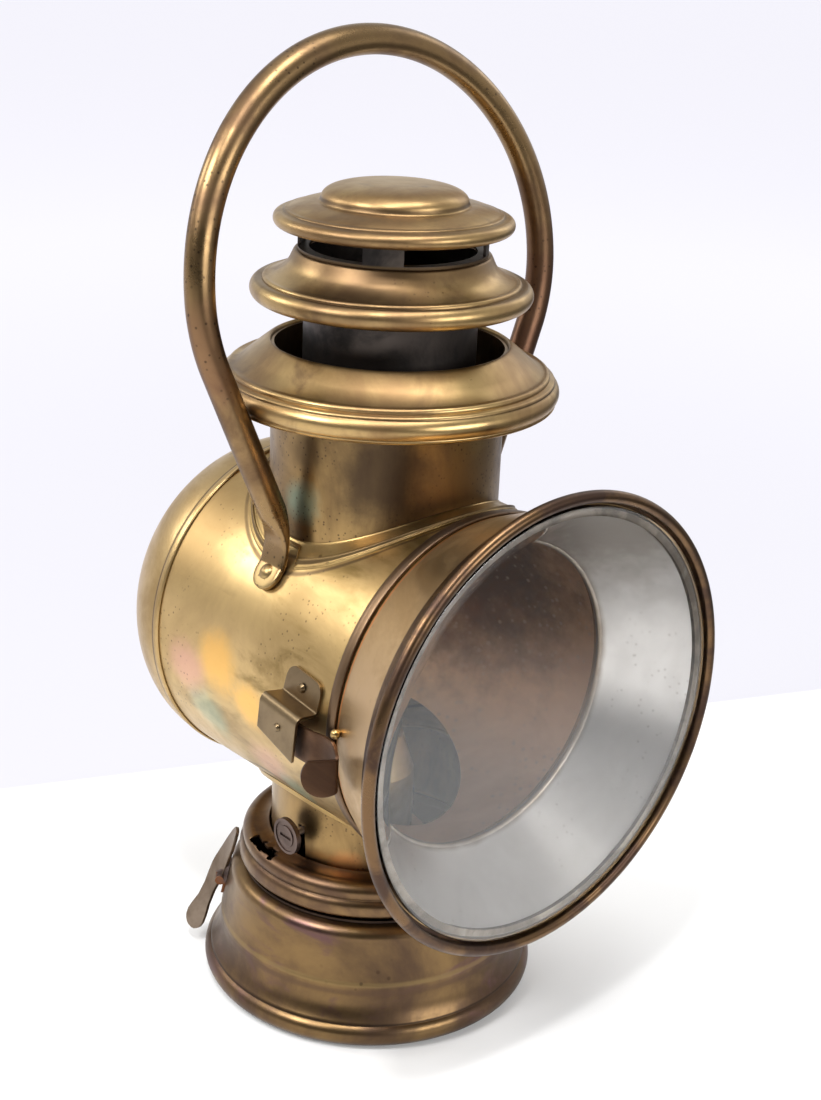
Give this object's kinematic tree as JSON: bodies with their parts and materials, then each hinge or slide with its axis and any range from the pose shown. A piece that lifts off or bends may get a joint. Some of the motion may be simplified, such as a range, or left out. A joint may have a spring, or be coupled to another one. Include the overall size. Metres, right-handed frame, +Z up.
{
  "type": "motor car lamp",
  "caption": "Brass motor car oil lamp: round drum with a flared glazed door, canopied chimney, hoop handle and a round font at the foot.",
  "frame": {"origin": "on the ground under the chimney's axis, at the middle of the font's foot", "axes": "+Z up along the chimney; -Y forwards, out of the glazed door; +X towards the door's hinge"},
  "size_m": [0.14, 0.161, 0.2986],
  "materials": {
    "brass": "aged satin brass, worn lacquer",
    "bronze": "dark bronzed brass, handled",
    "dark_brass": "sooted and bronzed brass",
    "steel": "tarnished steel",
    "silvered": "tarnished silver plate on copper",
    "glass": "clear, bevelled edge",
    "wick": "woven cotton"
  },
  "bodies": {
    "font": {"font_shell": "bronze", "font_top": "bronze", "font_bottom": "bronze", "burner_collar": "brass", "burner_body": "brass", "wick_tube": "brass", "clip_bracket": "dark_brass", "clip_pin": "steel"},
    "head": {"lower_collar": "bronze", "lower_neck": "brass", "lower_saddle": "brass", "drum_shell": "brass", "rear_dome": "brass", "drum_front_ring": "bronze", "reflector_bowl": "silvered", "upper_neck": "brass", "neck_saddle": "brass", "chimney_skirt": "brass", "chimney_tube": "dark_brass", "chimney_spider": "dark_brass", "middle_canopy": "brass", "crown_gallery": "dark_brass", "top_cap": "brass", "handle": "bronze", "handle_rivets": "bronze", "drum_hinge_leaf": "bronze", "hinge_pin": "steel", "latch_cover": "bronze", "latch_rivets": "dark_brass"},
    "door": {"door_cone": "brass", "front_rim": "bronze", "front_glass": "glass", "glass_retainer": "bronze", "hood_reflector": "silvered", "door_ring": "bronze", "door_hinge_leaf": "bronze", "latch_stud": "bronze"},
    "latch": {"latch_spring": "dark_brass"},
    "wick_works": {"wick_spindle": "steel", "wick_knob": "bronze"},
    "wick": {"wick": "wick"},
    "clip": {"font_clip": "bronze"}
  },
  "joints": [
    {"name": "head_lift", "type": "slide", "parent": "font", "child": "head", "axis": [0, 0, 1], "range_m": [0, 0.06]},
    {"name": "door_swing", "type": "hinge", "parent": "head", "child": "door", "pos_m": [0.0582, -0.0456, 0.1147], "axis": [0, 0, 1], "range_deg": [0, 110]},
    {"name": "latch_press", "type": "hinge", "parent": "head", "child": "latch", "pos_m": [-0.0588, -0.0242, 0.112], "axis": [0, 0, -1], "range_deg": [0, 5], "stiffness_Nm_per_rad": 0.05},
    {"name": "wick_turn", "type": "hinge", "parent": "font", "child": "wick_works", "pos_m": [0, -0.0039, 0.0599], "axis": [1, 0, 0], "range_deg": [-45, 180]},
    {"name": "wick_rise", "type": "slide", "parent": "font", "child": "wick", "axis": [0, 0, 1], "range_m": [-0.00188, 0.00753]},
    {"name": "clip_swing", "type": "hinge", "parent": "font", "child": "clip", "pos_m": [-0.03465, 0.03465, 0.027], "axis": [-0.7071, -0.7071, 0], "range_deg": [0, 4], "stiffness_Nm_per_rad": 0.05}
  ],
  "couplings": [
    {"joint": "wick_turn", "follows": "wick_rise", "rad_per_m": 416.67}
  ]
}
